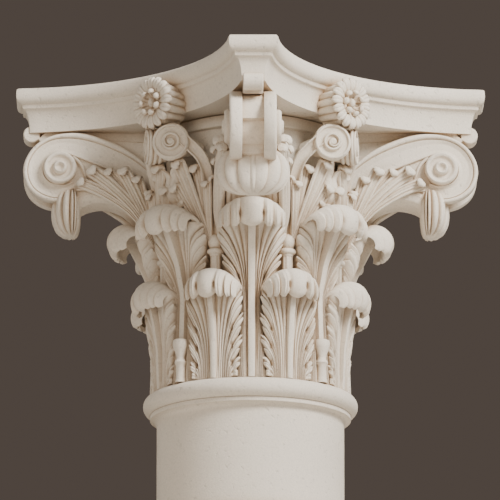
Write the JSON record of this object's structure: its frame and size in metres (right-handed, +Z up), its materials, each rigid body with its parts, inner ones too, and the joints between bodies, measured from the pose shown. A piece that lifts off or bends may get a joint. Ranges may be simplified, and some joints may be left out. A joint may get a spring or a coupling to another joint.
{
  "type": "corinthian capital",
  "caption": "Cast-stone Corinthian capital on the neck of its column: acanthus leaves, corner scrolls and a hollow-sided abacus with rosettes.",
  "frame": {"origin": "centre of the neck's flat underside", "axes": "+Z up along the column's axis; the abacus's hollow sides face +X, +Y, -X and -Y and its horns point along the diagonals"},
  "size_m": [0.5916, 0.5916, 0.708],
  "materials": {
    "capital_stone": "fine-grained ivory cast stone, matt",
    "neck_stone": "fine-grained ivory cast stone, matt"
  },
  "bodies": {
    "root": {"capital": "capital_stone", "shaft_neck": "neck_stone"}
  },
  "joints": []
}
